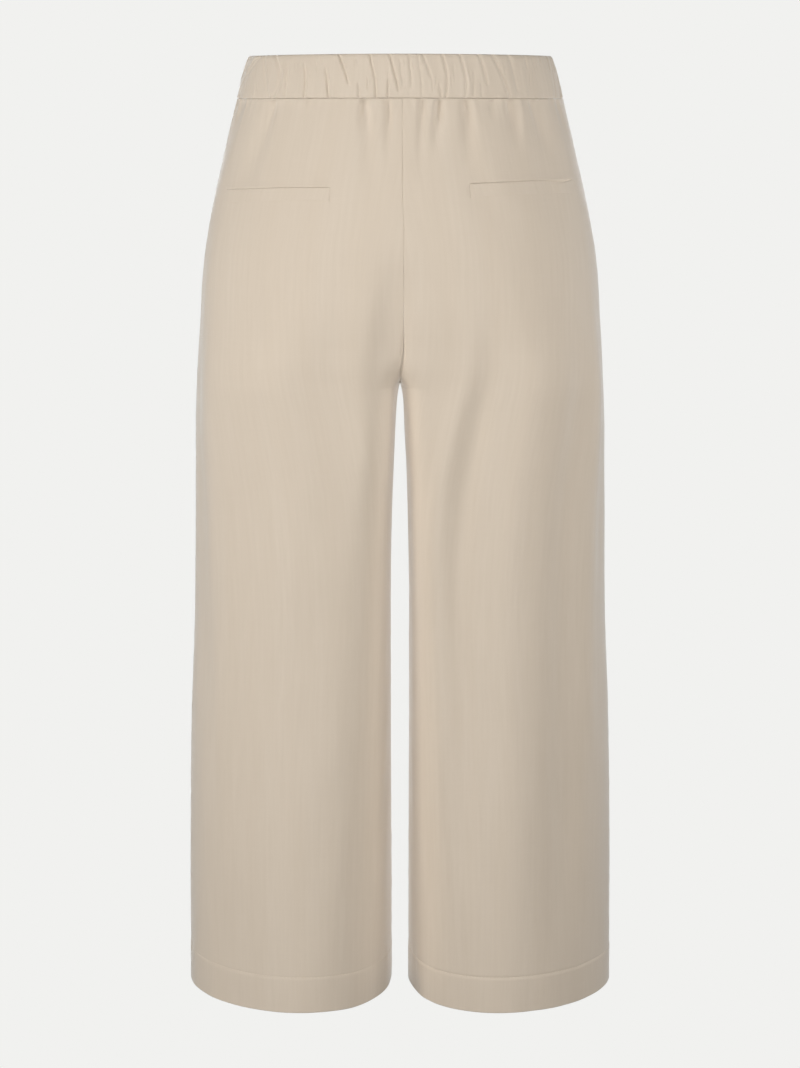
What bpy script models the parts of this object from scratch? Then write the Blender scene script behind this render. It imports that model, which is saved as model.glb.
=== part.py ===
"""Wide-leg pull-on trousers in light linen, filled out as if worn.

Four leg panels, a gathered elastic waistband and two welt pockets, each a wall
of cloth at its real size.  Metres, +Z up.  The origin is the middle of the
waist at the level of its sides; the wearer faces +Y, so the back is at -Y and
the wearer's left is at -X.  Every height is given as a drop below the waist.
"""
import math
from collections import namedtuple

import bmesh
import bpy

MM = 0.001

# Lengths down the garment
LENGTH = 886.0 * MM
CROTCH_DROP = 296.0 * MM
BAND_HEIGHT = 38.5 * MM
HEM_DEPTH = 35.0 * MM
BACK_RISE = 2.0 * MM
FRONT_DIP = 12.0 * MM

# Cloth
CLOTH_WALL = 1.3 * MM
HEM_WALL = 2.4 * MM
BAND_WALL = 3.0 * MM
WELT_WALL = 1.2 * MM
SEAM_GAP = 0.3 * MM
HALF_GAP = SEAM_GAP / 2

# Welt pockets: length along the panel as shares of its width, and height
WELT_FROM = 5 / 22
WELT_TO = 16 / 22
WELT_HEIGHT = 11.0 * MM

# How finely the cloth is cut into facets.  Rows are levels in millimetres:
# drops above and below the welt, then distances below the crotch.  Between
# them the rows close up towards the crotch over its reach.
PANEL_COLUMNS = 22
ROWS_ABOVE_WELT = (50, 64, 80, 98)
ROWS_BELOW_WELT = (152, 176, 200)
ROWS_BELOW_CROTCH = (6, 20, 45, 85, 140, 200, 262, 326, 390, 454, 508)
CROTCH_REACH = 72.0 * MM
CROTCH_ROWS = 6
HEM_STEP = 1.2 * MM
LINE_STEPS = 240
GRAIN_POWER = 4
BAND_GATHERS = 80
STEPS_PER_GATHER = 4

# The inside of the cloth turns at the crotch a little higher than its outside;
# the search for that level, and how far up and down the change is spread
LEVEL_STEP = 0.05 * MM
LIFT_REACH = 45.0 * MM

# One half of the garment, level by level, in millimetres.  outer and inner are
# the edges of the half's round line, measured from the middle; where inner is
# negative the two halves run into each other and are cut at the centre seam.
# back and front are its depths.  square is the roundness of its outer part and
# fork that of its inner part (2 is an ellipse, more is squarer).  lean moves
# its deepest points towards the middle, and grain is the width that a panel's
# lengthwise threads follow before they are drawn in towards the crotch.
Section = namedtuple("Section", "drop outer inner back front square fork lean grain")
SECTIONS = (
    Section(0, 139.0, -139.0, 98, 98, 2.10, 2.10, 0, 189),
    Section(38, 149.5, -149.5, 103, 101, 2.12, 2.12, 0, 202),
    Section(66, 157.0, -157.0, 107, 104, 2.16, 2.16, 0, 212),
    Section(95, 164.0, -164.0, 112, 106, 2.20, 2.20, 0, 222),
    Section(124, 171.0, -169.0, 117, 108, 2.26, 2.26, 0, 233),
    Section(154, 177.3, -163.0, 120, 109, 2.32, 2.32, 0, 244),
    Section(184, 182.0, -147.0, 122, 108, 2.38, 2.40, 0, 254),
    Section(213, 184.8, -120.0, 122, 107, 2.43, 2.50, 0, 264),
    Section(243, 186.6, -80.0, 120.5, 106, 2.47, 3.00, 0, 274),
    Section(260, 187.9, -50.0, 119, 105, 2.48, 3.60, 0, 280),
    Section(277, 189.0, -21.0, 118, 104.5, 2.48, 4.60, 0, 286),
    Section(287, 189.6, -7.5, 117, 104, 2.47, 5.30, 0, 290),
    Section(296, 190.1, 0.15, 116.5, 104, 2.46, 5.80, 0, 294),
    Section(312, 191.0, 2.9, 115.5, 103.5, 2.42, 6.00, 1, 300),
    Section(349, 192.4, 4.8, 114, 103, 2.36, 5.60, 3, 311),
    Section(395, 193.0, 6.7, 112.5, 102, 2.28, 4.80, 5, 320),
    Section(472, 194.4, 8.5, 111, 101, 2.18, 3.90, 8, 326),
    Section(520, 195.8, 8.8, 110, 100.5, 2.12, 3.50, 9, 326),
    Section(614, 200.2, 8.8, 109, 100, 2.05, 2.95, 11, 325),
    Section(710, 202.8, 8.5, 109, 100, 2.01, 2.55, 12, 325),
    Section(800, 204.2, 8.2, 109, 100, 2.00, 2.30, 13, 326),
    Section(886, 205.0, 8.2, 109, 100, 2.00, 2.10, 13, 326),
)
FRONT_GRAIN = 0.96

# Panels: which way each lies from the middle, and how far down its welt is
Panel = namedtuple("Panel", "name side face welt_drop")
PANELS = (
    Panel("back_left", -1, -1, 118.5 * MM),
    Panel("back_right", 1, -1, 112 * MM),
    Panel("front_left", -1, 1, 118.5 * MM),
    Panel("front_right", 1, 1, 112 * MM),
)

# Folds run down a panel.  place is the share of its width from the side seam
# to the centre, drift how far that moves on the way down, top and bottom its
# ends, depth how far it stands out (minus is a trough) and width its spread.
Fold = namedtuple("Fold", "panel place drift top bottom depth width")
FOLDS = (
    # Gathers let go by the waistband, short and deepest at the seam
    Fold("back_left", 0.940, 0.010, 38, 125, -3.0, 5),
    Fold("back_left", 0.825, 0.095, 38, 150, -3.4, 8),
    Fold("back_left", 0.705, -0.010, 38, 80, -0.8, 6),
    Fold("back_left", 0.586, 0.000, 38, 90, -1.8, 6),
    Fold("back_left", 0.488, 0.000, 38, 75, -1.4, 6),
    Fold("back_left", 0.400, -0.070, 38, 160, -3.2, 11),
    Fold("back_left", 0.180, -0.030, 38, 95, -1.2, 8),
    Fold("back_right", 0.908, 0.030, 38, 130, -2.0, 5),
    Fold("back_right", 0.828, 0.050, 38, 105, -3.6, 5),
    Fold("back_right", 0.708, 0.015, 38, 115, -3.0, 7),
    Fold("back_right", 0.590, 0.000, 38, 62, -2.4, 4),
    Fold("back_right", 0.498, 0.000, 38, 88, -3.4, 6),
    Fold("back_right", 0.446, 0.020, 38, 110, 2.0, 5),
    Fold("back_right", 0.355, -0.020, 38, 130, -3.0, 10),
    Fold("back_right", 0.180, -0.020, 38, 90, -1.3, 8),
    Fold("front_left", 0.910, 0.000, 38, 115, -1.8, 7),
    Fold("front_left", 0.775, -0.030, 38, 140, -2.7, 9),
    Fold("front_left", 0.640, -0.010, 38, 90, -1.5, 7),
    Fold("front_left", 0.500, -0.020, 38, 120, -2.2, 8),
    Fold("front_left", 0.365, -0.040, 38, 130, -2.4, 10),
    Fold("front_left", 0.200, -0.010, 38, 85, -1.4, 8),
    Fold("front_right", 0.930, 0.000, 38, 100, -1.5, 7),
    Fold("front_right", 0.820, -0.020, 38, 125, -2.4, 8),
    Fold("front_right", 0.680, -0.010, 38, 105, -1.8, 8),
    Fold("front_right", 0.545, -0.020, 38, 135, -2.6, 9),
    Fold("front_right", 0.410, -0.020, 38, 85, -1.4, 7),
    Fold("front_right", 0.270, -0.040, 38, 110, -2.0, 9),
    # Long soft folds down the legs
    Fold("back_left", 0.560, -0.050, 150, 560, 2.4, 30),
    Fold("back_left", 0.880, -0.190, 170, 430, 3.4, 14),
    Fold("back_left", 0.700, 0.000, 330, 870, -1.4, 26),
    Fold("back_left", 0.330, -0.020, 380, 840, 2.0, 26),
    Fold("back_left", 0.150, 0.010, 170, 700, -2.0, 20),
    Fold("back_right", 0.725, -0.040, 200, 800, 4.0, 11),
    Fold("back_right", 0.655, -0.050, 200, 800, -5.0, 12),
    Fold("back_right", 0.510, -0.010, 200, 870, 2.4, 17),
    Fold("back_right", 0.325, -0.005, 190, 875, -5.5, 20),
    Fold("back_right", 0.225, -0.005, 180, 700, 3.0, 15),
    Fold("front_left", 0.480, -0.010, 200, 870, 4.0, 26),
    Fold("front_left", 0.720, -0.040, 240, 780, -3.4, 26),
    Fold("front_left", 0.240, 0.020, 300, 860, -3.0, 26),
    Fold("front_right", 0.500, -0.020, 210, 870, 4.0, 26),
    Fold("front_right", 0.700, -0.020, 300, 860, -3.2, 28),
    Fold("front_right", 0.270, 0.010, 250, 740, -3.4, 24),
)
FOLD_SEAM_CLEAR = 16.0 * MM

# The back sinks to its centre seam above the crotch, over a wider reach on the
# left than on the right
CENTRE_DIP = 4.5 * MM
CENTRE_DIP_REACH = {-1: 24.0 * MM, 1: 15.0 * MM}
CENTRE_DIP_TOP = 160.0 * MM
CENTRE_DIP_FADE = 60.0 * MM

# The waistband's cut from its top fold to its lower edge: how far down, how
# far it stands out from the body line, and the share of each gather it shows
BandRow = namedtuple("BandRow", "drop proud gather")
BAND_ROWS = (
    BandRow(0.0, -1.0, 0.45),
    BandRow(3.5, 0.5, 0.90),
    BandRow(19.0, 0.9, 1.00),
    BandRow(35.0, 0.5, 0.85),
    BandRow(38.5, -0.4, 0.40),
)
GATHER_DEPTH = 0.9 * MM
GATHER_LEAN = 2.2

LINEN = (0.610, 0.521, 0.417, 1.0)
LINEN_ROUGHNESS = 0.75


def clear_scene():
    """Start from an empty file."""
    for thing in list(bpy.data.objects):
        bpy.data.objects.remove(thing, do_unlink=True)


def linen(name):
    """The cloth's material for one piece."""
    material = bpy.data.materials.new(name + "_linen")
    material.use_nodes = True
    shader = material.node_tree.nodes["Principled BSDF"]
    shader.inputs["Base Color"].default_value = LINEN
    shader.inputs["Roughness"].default_value = LINEN_ROUGHNESS
    shader.inputs["Metallic"].default_value = 0.0
    return material


def ease(share):
    """Smooth step from 0 to 1."""
    share = min(1.0, max(0.0, share))
    return share * share * (3 - 2 * share)


def column_slopes(column):
    """Slopes of a smooth line through a column that never overshoots it."""
    drops = [row.drop * MM for row in SECTIONS]
    values = [getattr(row, column) for row in SECTIONS]
    steps = [(values[i + 1] - values[i]) / (drops[i + 1] - drops[i])
             for i in range(len(SECTIONS) - 1)]
    slopes = [steps[0]]
    for before, after in zip(steps, steps[1:]):
        rising = before * after > 0
        slopes.append(2 * before * after / (before + after) if rising else 0.0)
    return slopes + [steps[-1]]


SLOPES = {column: column_slopes(column) for column in Section._fields[1:]}


def column_at(column, drop):
    """A column of the sections table at any drop."""
    index = len(SECTIONS) - 2
    while index > 0 and SECTIONS[index].drop * MM > drop:
        index -= 1
    start, end = SECTIONS[index], SECTIONS[index + 1]
    span = (end.drop - start.drop) * MM
    t = (drop - start.drop * MM) / span
    first, last = getattr(start, column), getattr(end, column)
    rise = span * SLOPES[column][index]
    fall = span * SLOPES[column][index + 1]
    return (first * (1 + 2 * t) * (1 - t) ** 2 + rise * t * (1 - t) ** 2
            + last * t * t * (3 - 2 * t) - fall * t * t * (1 - t))


def signed_power(value, power):
    """A power that keeps its base's sign."""
    return math.copysign(abs(value) ** power, value)


def half_line(drop, face, wall, columns, half_gap, apart=False):
    """Points (x, y, normal) from the side seam to the middle, on one face.

    x runs out from the middle and y away from the side seam.  wall is how far
    inside the cloth's outer face the line lies, and apart says that the legs
    have parted, so that the line ends at the inseam.
    """
    outer = column_at("outer", drop) * MM
    inner = column_at("inner", drop) * MM
    depth = column_at("back" if face < 0 else "front", drop) * MM - wall
    lean = column_at("lean", drop) * MM
    out_power = 2 / column_at("square", drop)
    in_power = 2 / column_at("fork", drop)
    across = (outer - inner) / 2 - wall
    centre = (outer + inner) / 2
    start = math.asin((half_gap / depth) ** (1 / out_power))
    if apart:
        end = math.pi - math.asin((half_gap / depth) ** (1 / in_power))
    else:
        end = math.acos(-signed_power((centre - half_gap) / across, 1 / in_power))
    line = []
    for step in range(LINE_STEPS + 1):
        turn = start + (end - start) * step / LINE_STEPS
        power = out_power if turn < math.pi / 2 else in_power
        sine = max(0.0, math.sin(turn))
        line.append((centre + across * signed_power(math.cos(turn), power) - lean * sine ** 2,
                     depth * sine ** power))
    grain = column_at("grain", drop) * MM * (1 if face < 0 else FRONT_GRAIN)
    return spaced_points(line, columns, grain)


def spaced_points(line, columns, grain):
    """Points along a fine line, each with its outward normal.

    They are even over the grain width from the side seam, and what the line
    has more or less than that is taken up towards its far end.
    """
    run = [0.0]
    for (x0, y0), (x1, y1) in zip(line, line[1:]):
        run.append(run[-1] + math.hypot(x1 - x0, y1 - y0))
    points = []
    index = 0
    for column in range(columns + 1):
        share = column / columns
        target = grain * share + (run[-1] - grain) * share ** GRAIN_POWER
        while index < len(line) - 2 and run[index + 1] < target:
            index += 1
        (x0, y0), (x1, y1) = line[index], line[index + 1]
        length = run[index + 1] - run[index]
        t = (target - run[index]) / length
        normal = ((y1 - y0) / length, (x0 - x1) / length)
        points.append((x0 + (x1 - x0) * t, y0 + (y1 - y0) * t, normal))
    return points, run[-1]


def waist_lift(depth_share, face, drop):
    """The waist runs up at the back and down at the front; this fades to the crotch."""
    top = BACK_RISE if face < 0 else -FRONT_DIP
    return top * depth_share ** 2 * ease(1 - drop / CROTCH_DROP)


def fold_relief(panel, share, drop, width):
    """How far the folds move the cloth out at one place of a panel."""
    relief = 0.0
    for fold in FOLDS:
        if fold.panel != panel.name:
            continue
        down = (drop - fold.top * MM) / ((fold.bottom - fold.top) * MM)
        if not 0 <= down <= 1:
            continue
        if fold.top * MM < BAND_HEIGHT:
            strength = ease(1 - down)
        else:
            strength = ease(3.5 * down) * ease(3.5 * (1 - down))
        away = (share - fold.place - fold.drift * down) * width
        relief += fold.depth * MM * strength * math.exp(-(away / (fold.width * MM)) ** 2)
    to_seam = min(share, 1 - share) * width
    return relief * ease(to_seam / FOLD_SEAM_CLEAR)


def centre_dip(panel, drop, x):
    """How far the back is drawn in beside its centre seam."""
    if panel.face > 0:
        return 0.0
    fade = ease((drop - CENTRE_DIP_TOP) / CENTRE_DIP_FADE) * ease((CROTCH_DROP - drop) / CENTRE_DIP_FADE)
    return CENTRE_DIP * fade * math.exp(-(x / CENTRE_DIP_REACH[panel.side]) ** 2)


def inner_lift(drop):
    """Near the crotch the inside of the cloth turns higher up than its outside."""
    turn = CROTCH_DROP
    while column_at("inner", turn) * MM + CLOTH_WALL > HALF_GAP:
        turn -= LEVEL_STEP
    return (CROTCH_DROP - turn) * ease(1 - abs(drop - CROTCH_DROP) / LIFT_REACH)


def wall_at(drop):
    """The turned-up hem makes the cloth double."""
    return HEM_WALL if drop > LENGTH - HEM_DEPTH else CLOTH_WALL


def panel_drops(panel):
    """The levels of a panel's rows, closer where its shape changes faster."""
    levels = [BAND_HEIGHT + SEAM_GAP]
    levels += [row * MM for row in ROWS_ABOVE_WELT]
    levels += [panel.welt_drop, panel.welt_drop + WELT_HEIGHT]
    levels += [row * MM for row in ROWS_BELOW_WELT]
    for step in range(CROTCH_ROWS, -1, -1):
        levels.append(CROTCH_DROP - CROTCH_REACH * (step / CROTCH_ROWS) ** 2)
    levels += [CROTCH_DROP + row * MM for row in ROWS_BELOW_CROTCH]
    hem = LENGTH - HEM_DEPTH
    return levels + [hem - HEM_STEP / 2, hem + HEM_STEP / 2, LENGTH]


def panel_skin(panel, drops, inside):
    """Rows of points over one face of a panel, with their outward normals."""
    rows = []
    for drop in drops:
        wall = wall_at(drop) if inside else 0.0
        level = drop - inner_lift(drop) if inside else drop
        apart = drop >= CROTCH_DROP
        points, width = half_line(level, panel.face, wall, PANEL_COLUMNS, HALF_GAP, apart)
        depth = column_at("back" if panel.face < 0 else "front", level) * MM
        row = []
        for column, (x, y, normal) in enumerate(points):
            relief = fold_relief(panel, column / PANEL_COLUMNS, drop, width)
            x += normal[0] * relief
            y += normal[1] * relief - centre_dip(panel, drop, x)
            z = waist_lift(min(1.0, y / depth), panel.face, drop) - level
            place = (panel.side * x, panel.face * y, z)
            row.append((place, (panel.side * normal[0], panel.face * normal[1], 0.0)))
        rows.append(row)
    return rows


def moved_out(point, distance):
    """A skin point moved along its normal."""
    place, normal = point
    return tuple(p + n * distance for p, n in zip(place, normal))


def solid_between(name, outside, inside):
    """A closed wall between two matching grids of points."""
    rows, columns = len(outside), len(outside[0])
    mesh = bmesh.new()
    out = [[mesh.verts.new(place) for place in row] for row in outside]
    into = [[mesh.verts.new(place) for place in row] for row in inside]
    for i in range(rows - 1):
        for j in range(columns - 1):
            mesh.faces.new((out[i][j], out[i + 1][j], out[i + 1][j + 1], out[i][j + 1]))
            mesh.faces.new((into[i][j], into[i][j + 1], into[i + 1][j + 1], into[i + 1][j]))
    edge = [(0, j) for j in range(columns)]
    edge += [(i, columns - 1) for i in range(1, rows)]
    edge += [(rows - 1, j) for j in range(columns - 2, -1, -1)]
    edge += [(i, 0) for i in range(rows - 2, 0, -1)]
    for (i, j), (k, m) in zip(edge, edge[1:] + edge[:1]):
        mesh.faces.new((out[i][j], out[k][m], into[k][m], into[i][j]))
    return finished(name, mesh)


def finished(name, mesh):
    """Turn a closed bmesh into a named object with its own material."""
    bmesh.ops.recalc_face_normals(mesh, faces=mesh.faces)
    data = bpy.data.meshes.new(name)
    mesh.to_mesh(data)
    mesh.free()
    data.materials.append(linen(name))
    piece = bpy.data.objects.new(name, data)
    bpy.context.scene.collection.objects.link(piece)
    return piece


def make_panel(panel):
    """One leg panel from the waist seam to the hem, with its hem turned up."""
    drops = panel_drops(panel)
    outside = [[place for place, _ in row] for row in panel_skin(panel, drops, False)]
    inside = [[place for place, _ in row] for row in panel_skin(panel, drops, True)]
    return solid_between(panel.name, outside, inside)


def make_welt(panel):
    """The strip of one welt pocket, laid on its panel's own points."""
    drops = [panel.welt_drop, panel.welt_drop + WELT_HEIGHT]
    first = round(WELT_FROM * PANEL_COLUMNS)
    last = round(WELT_TO * PANEL_COLUMNS)
    skin = [row[first:last + 1] for row in panel_skin(panel, drops, False)]
    under = [[moved_out(point, SEAM_GAP) for point in row] for row in skin]
    over = [[moved_out(point, SEAM_GAP + WELT_WALL) for point in row] for row in skin]
    return solid_between(panel.name.replace("back", "welt"), over, under)


def gather_wave(turn, down):
    """The waistband's gathers: uneven in place, depth and lean; turn is 0 to 1 around."""
    circle = 2 * math.pi
    uneven = 0.32 * math.sin(circle * 7 * turn + 1.0) + 0.22 * math.sin(circle * 17 * turn)
    lean = GATHER_LEAN * math.sin(circle * 3 * turn + 0.6) * (down - 0.5)
    depth = 0.75 + 0.25 * math.sin(circle * 11 * turn + 2.0)
    return depth * math.sin(circle * (BAND_GATHERS * turn + uneven) + lean)


def band_ring(row, wall):
    """Points around the waistband at one level, wall inside its outer face."""
    drop = row.drop * MM
    columns = BAND_GATHERS * STEPS_PER_GATHER // 4
    ring = []
    for side, face in ((1, -1), (-1, -1), (-1, 1), (1, 1)):
        points, _ = half_line(drop, face, 0.0, columns, 0.0)
        depth = column_at("back" if face < 0 else "front", drop) * MM
        if side == face:
            points = points[:0:-1]
        else:
            points = points[:-1]
        for x, y, normal in points:
            turn = len(ring) / (4 * columns)
            gather = GATHER_DEPTH * row.gather * gather_wave(turn, drop / BAND_HEIGHT)
            proud = row.proud * MM + gather if wall == 0 else -wall
            x += normal[0] * proud
            y += normal[1] * proud
            ring.append((side * x, face * y, waist_lift(min(1.0, y / depth), face, drop) - drop))
    return ring


def make_waistband():
    """The elastic waistband: a closed ring, gathered outside and plain inside."""
    rings = [band_ring(row, 0.0) for row in BAND_ROWS]
    rings += [band_ring(row, BAND_WALL) for row in (BAND_ROWS[-1], BAND_ROWS[0])]
    mesh = bmesh.new()
    loops = [[mesh.verts.new(place) for place in ring] for ring in rings]
    around = len(loops[0])
    for upper, lower in zip(loops, loops[1:] + loops[:1]):
        for i in range(around):
            k = (i + 1) % around
            mesh.faces.new((upper[i], lower[i], lower[k], upper[k]))
    return finished("waistband", mesh)


def main():
    """Build every piece of the trousers."""
    clear_scene()
    for panel in PANELS:
        make_panel(panel)
        if panel.face < 0:
            make_welt(panel)
    make_waistband()


main()
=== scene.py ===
"""Looks of wide-leg pull-on trousers in light linen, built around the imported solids.

Every piece of cloth is a thin closed shell on the form of its own solid.  The
sections and folds repeat the construction's sizes, in millimetres; a drop is
a distance below the waist.  The back of the garment is at -Y.
"""

import math
from collections import namedtuple

import bmesh
import bpy
import numpy as np
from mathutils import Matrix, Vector


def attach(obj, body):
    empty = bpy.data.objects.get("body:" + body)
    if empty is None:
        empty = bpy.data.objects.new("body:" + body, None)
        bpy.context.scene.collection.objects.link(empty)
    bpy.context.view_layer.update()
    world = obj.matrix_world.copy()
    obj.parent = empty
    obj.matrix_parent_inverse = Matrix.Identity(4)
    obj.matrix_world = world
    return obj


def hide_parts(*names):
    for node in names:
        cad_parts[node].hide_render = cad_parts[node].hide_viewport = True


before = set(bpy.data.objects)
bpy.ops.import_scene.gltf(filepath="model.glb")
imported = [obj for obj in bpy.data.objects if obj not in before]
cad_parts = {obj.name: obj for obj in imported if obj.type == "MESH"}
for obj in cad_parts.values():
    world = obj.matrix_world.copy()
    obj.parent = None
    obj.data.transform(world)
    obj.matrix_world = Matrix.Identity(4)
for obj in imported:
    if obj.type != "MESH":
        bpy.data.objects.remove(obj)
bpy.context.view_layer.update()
BODY = "root"
MM = 0.001

# ---- sizes, as in the construction
LENGTH = 886.0
CROTCH_DROP = 296.0
BAND_HEIGHT = 38.5
HEM_DEPTH = 35.0
BACK_RISE = 2.0
FRONT_DIP = 12.0
CLOTH_WALL = 1.3
HEM_WALL = 2.4
BAND_WALL = 3.0
SEAM_GAP = 0.3
HALF_GAP = SEAM_GAP / 2
WELT_FROM = 5 / 22
WELT_TO = 16 / 22
WELT_HEIGHT = 11.0
FRONT_GRAIN = 0.96
GRAIN_POWER = 12
LIFT_REACH = 45.0
LEVEL_STEP = 0.05

Section = namedtuple("Section", "drop outer inner back front square fork lean grain")
SECTIONS = [Section(*row) for row in (
    (0, 139, -139, 98, 98, 2.1, 2.1, 0, 189),
    (38, 149.5, -149.5, 103, 101, 2.12, 2.12, 0, 202),
    (66, 157, -157, 107, 104, 2.16, 2.16, 0, 212),
    (95, 164, -164, 112, 106, 2.2, 2.2, 0, 222),
    (124, 171, -169, 117, 108, 2.26, 2.26, 0, 233),
    (154, 177.3, -163, 120, 109, 2.32, 2.32, 0, 244),
    (184, 182, -147, 122, 108, 2.38, 2.4, 0, 254),
    (213, 184.8, -120, 122, 107, 2.43, 2.5, 0, 264),
    (243, 186.6, -80, 120.5, 106, 2.47, 3, 0, 274),
    (260, 187.9, -50, 119, 105, 2.48, 3.6, 0, 280),
    (277, 189, -21, 118, 104.5, 2.48, 4.6, 0, 286),
    (287, 189.6, -7.5, 117, 104, 2.47, 5.3, 0, 290),
    (296, 190.1, 0.15, 116.5, 104, 2.46, 5.8, 0, 294),
    (312, 191, 2.9, 115.5, 103.5, 2.42, 6, 1, 300),
    (349, 192.4, 4.8, 114, 103, 2.36, 5.6, 3, 311),
    (395, 193, 6.7, 112.5, 102, 2.28, 4.8, 5, 320),
    (472, 194.4, 8.5, 111, 101, 2.18, 3.9, 8, 326),
    (520, 195.8, 8.8, 110, 100.5, 2.12, 3.5, 9, 326),
    (614, 200.2, 8.8, 109, 100, 2.05, 2.95, 11, 325),
    (710, 202.8, 8.5, 109, 100, 2.01, 2.55, 12, 325),
    (800, 204.2, 8.2, 109, 100, 2, 2.3, 13, 326),
    (886, 205, 8.2, 109, 100, 2, 2.1, 13, 326),
)]

Panel = namedtuple("Panel", "name side face seed")
BACK_LEFT = Panel("back_left", -1, -1, 11)
BACK_RIGHT = Panel("back_right", 1, -1, 12)
FRONT_LEFT = Panel("front_left", -1, 1, 13)
FRONT_RIGHT = Panel("front_right", 1, 1, 14)
PANELS = (BACK_LEFT, BACK_RIGHT, FRONT_LEFT, FRONT_RIGHT)

# Folds run down a panel.  place is the share of its width from the side seam
# to the centre, drift how far that moves on the way down, depth how far it
# stands out (minus is a trough) and width its spread.  Those that start at 38
# are gathers, let go by the waistband; the rest are soft folds down the leg.
Fold = namedtuple("Fold", "place drift top bottom depth width")
FOLDS = {
    "back_left": (
        (0.94, 0.01, 38, 125, -3, 5),
        (0.825, 0.095, 38, 150, -3.4, 8),
        (0.705, -0.01, 38, 80, -0.8, 6),
        (0.586, 0, 38, 90, -1.8, 6),
        (0.488, 0, 38, 75, -1.4, 6),
        (0.4, -0.07, 38, 160, -3.2, 11),
        (0.18, -0.03, 38, 95, -1.2, 8),
        (0.56, -0.05, 150, 560, 2.4, 30),
        (0.88, -0.19, 170, 430, 3.4, 14),
        (0.7, 0, 330, 870, -1.4, 26),
        (0.33, -0.02, 380, 840, 2, 26),
        (0.15, 0.01, 170, 700, -2, 20),
    ),
    "back_right": (
        (0.908, 0.03, 38, 130, -2, 5),
        (0.828, 0.05, 38, 105, -3.6, 5),
        (0.708, 0.015, 38, 115, -3, 7),
        (0.59, 0, 38, 62, -2.4, 4),
        (0.498, 0, 38, 88, -3.4, 6),
        (0.446, 0.02, 38, 110, 2, 5),
        (0.355, -0.02, 38, 130, -3, 10),
        (0.18, -0.02, 38, 90, -1.3, 8),
        (0.725, -0.04, 200, 800, 4, 11),
        (0.655, -0.05, 200, 800, -5, 12),
        (0.51, -0.01, 200, 870, 2.4, 17),
        (0.325, -0.005, 190, 875, -5.5, 20),
        (0.225, -0.005, 180, 700, 3, 15),
    ),
    "front_left": (
        (0.91, 0, 38, 115, -1.8, 7),
        (0.775, -0.03, 38, 140, -2.7, 9),
        (0.64, -0.01, 38, 90, -1.5, 7),
        (0.5, -0.02, 38, 120, -2.2, 8),
        (0.365, -0.04, 38, 130, -2.4, 10),
        (0.2, -0.01, 38, 85, -1.4, 8),
        (0.48, -0.01, 200, 870, 4, 26),
        (0.72, -0.04, 240, 780, -3.4, 26),
        (0.24, 0.02, 300, 860, -3, 26),
    ),
    "front_right": (
        (0.93, 0, 38, 100, -1.5, 7),
        (0.82, -0.02, 38, 125, -2.4, 8),
        (0.68, -0.01, 38, 105, -1.8, 8),
        (0.545, -0.02, 38, 135, -2.6, 9),
        (0.41, -0.02, 38, 85, -1.4, 7),
        (0.27, -0.04, 38, 110, -2, 9),
        (0.5, -0.02, 210, 870, 4, 26),
        (0.7, -0.02, 300, 860, -3.2, 28),
        (0.27, 0.01, 250, 740, -3.4, 24),
    ),
}
FOLD_SEAM_CLEAR = 16.0
# A leg's fold fades in and out over one part in this many of its length
FOLD_RAMP = 3.5
# A gather's spread, in widths, at the seam and what it gains on its way down
GATHER_SPREAD = (0.62, 0.85)

# Sharp dips where the gathers leave the waistband, deepest just under its seam
Gather = namedtuple("Gather", "place drift bottom depth top_width foot_width")
GATHERS = {
    "back_left": (
        (0.945, 0.005, 100, 2.2, 2.4, 5),
        (0.838, 0.06, 112, 2.8, 3.2, 9),
        (0.586, 0, 70, 1.1, 2.4, 4),
        (0.41, -0.05, 120, 1.8, 4, 12),
    ),
    "back_right": (
        (0.912, 0.024, 100, 1.5, 2.2, 4),
        (0.832, 0.03, 80, 2.6, 2.6, 4.5),
        (0.708, 0.012, 88, 1.8, 3, 6),
        (0.59, 0, 54, 1.5, 2.4, 3),
        (0.5, 0, 70, 2.2, 3, 5),
        (0.38, -0.03, 96, 1.6, 3.4, 9),
    ),
}
GATHER_FULL = 5.0
GATHER_START = 0.2
# Sewn to the waistband, the cloth can only sink this share of a gather's depth
SEWN_SHARE = 0.22
SEWN_REACH = 5.5

# Dips beside the centre back seam: how far from it, depth, width, and the levels
# and lengths over which they come and go.  The back sinks to the seam, over a
# wider reach on the left than on the right; the seam itself sinks deeper near
# the crotch; and to its right the edge of its allowance shows through.
Groove = namedtuple("Groove", "away depth width top foot ramp_in ramp_out")
CENTRE_DIP = {
    -1: Groove(0.0, 4.5, 24.0, 160.0, CROTCH_DROP, 60.0, 60.0),
    1: Groove(0.0, 4.5, 15.0, 160.0, CROTCH_DROP, 60.0, 60.0),
}
SEAM_GROOVE = Groove(0.0, 2.2, 1.4, 228.0, CROTCH_DROP, 55.0, 3.0)
ALLOWANCE = Groove(2.7, 0.2, 1.2, 140.0, CROTCH_DROP - 12.0, 25.0, 25.0)

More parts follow.
